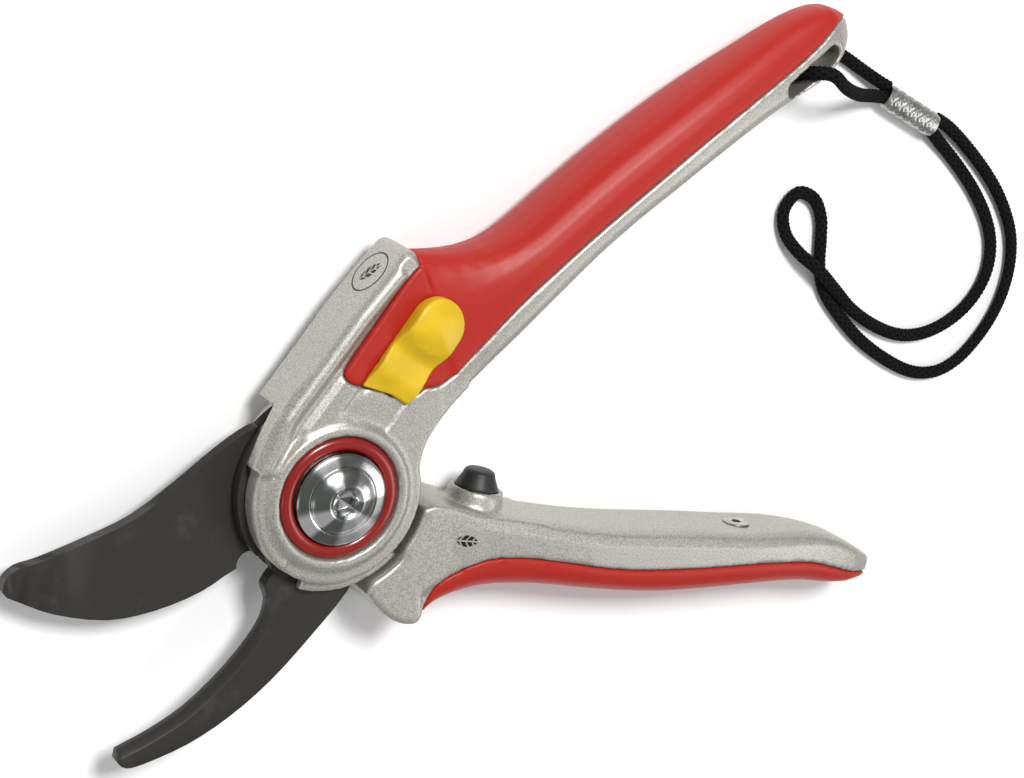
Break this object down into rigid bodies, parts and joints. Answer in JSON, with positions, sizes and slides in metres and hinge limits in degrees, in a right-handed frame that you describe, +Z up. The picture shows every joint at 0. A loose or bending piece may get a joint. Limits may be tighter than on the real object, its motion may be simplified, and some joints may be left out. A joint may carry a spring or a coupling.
{
  "type": "pruning shears",
  "caption": "Open bypass pruning shears with a hooked counter blade, thumb-slide lock, padded handles, rubber bumper and a wrist lanyard.",
  "frame": {"origin": "on the pivot axis, in the plane the shears lie on, at the closed face of the pivot nut", "axes": "+Z up the pivot axis, from the nut to the bolt head; +X between the open handles, away from the blades; blades along -X"},
  "size_m": [0.2564, 0.138, 0.0229],
  "materials": {
    "painted_frame": "fine granular silver paint over cast aluminium",
    "soft_grip": "satin soft plastic over a stiff core",
    "coated_steel": "matt dark non-stick coating",
    "steel": "zinc plated",
    "dark_steel": "blackened",
    "bronze": "plain bearing",
    "ring": "glossy",
    "spring_steel": "plain wire",
    "yellow": "smooth",
    "bolt": "bright turned zinc",
    "black_rubber": "matt",
    "braid": "flat braid",
    "ferrule": "crimped, embossed"
  },
  "bodies": {
    "upper_handle": {"upper_handle_frame": "painted_frame", "upper_grip": "soft_grip", "upper_grip_screw": "dark_steel", "counter_blade": "coated_steel", "counter_blade_dowels": "steel", "pivot_bush": "bronze", "thrust_washer": "steel", "cover_ring": "ring", "return_spring": "spring_steel", "lanyard_tether": "braid", "lanyard_loop": "braid", "lanyard_ferrule": "ferrule"},
    "lower_handle": {"lower_handle_frame": "painted_frame", "lower_grip": "soft_grip", "lower_grip_screw": "dark_steel", "cutting_blade": "coated_steel", "blade_rivets": "steel", "pivot_bolt": "bolt", "pivot_nut": "steel", "lock_washer": "dark_steel", "bumper": "black_rubber"},
    "lock": {"lock_slider": "yellow", "lock_pawl": "steel", "lock_screw": "dark_steel", "detent_ball": "steel", "detent_spring": "spring_steel"}
  },
  "joints": [
    {"name": "pivot", "type": "hinge", "parent": "upper_handle", "child": "lower_handle", "pos_m": [0, 0, 0.01], "axis": [0, 0, 1], "range_deg": [0, 35], "stiffness_Nm_per_rad": 1, "springref_deg": -20.05, "deforming": ["return_spring"]},
    {"name": "lock_slide", "type": "slide", "parent": "upper_handle", "child": "lock", "axis": [-0.7547, -0.6561, 0], "range_m": [0, 0.0065]}
  ]
}
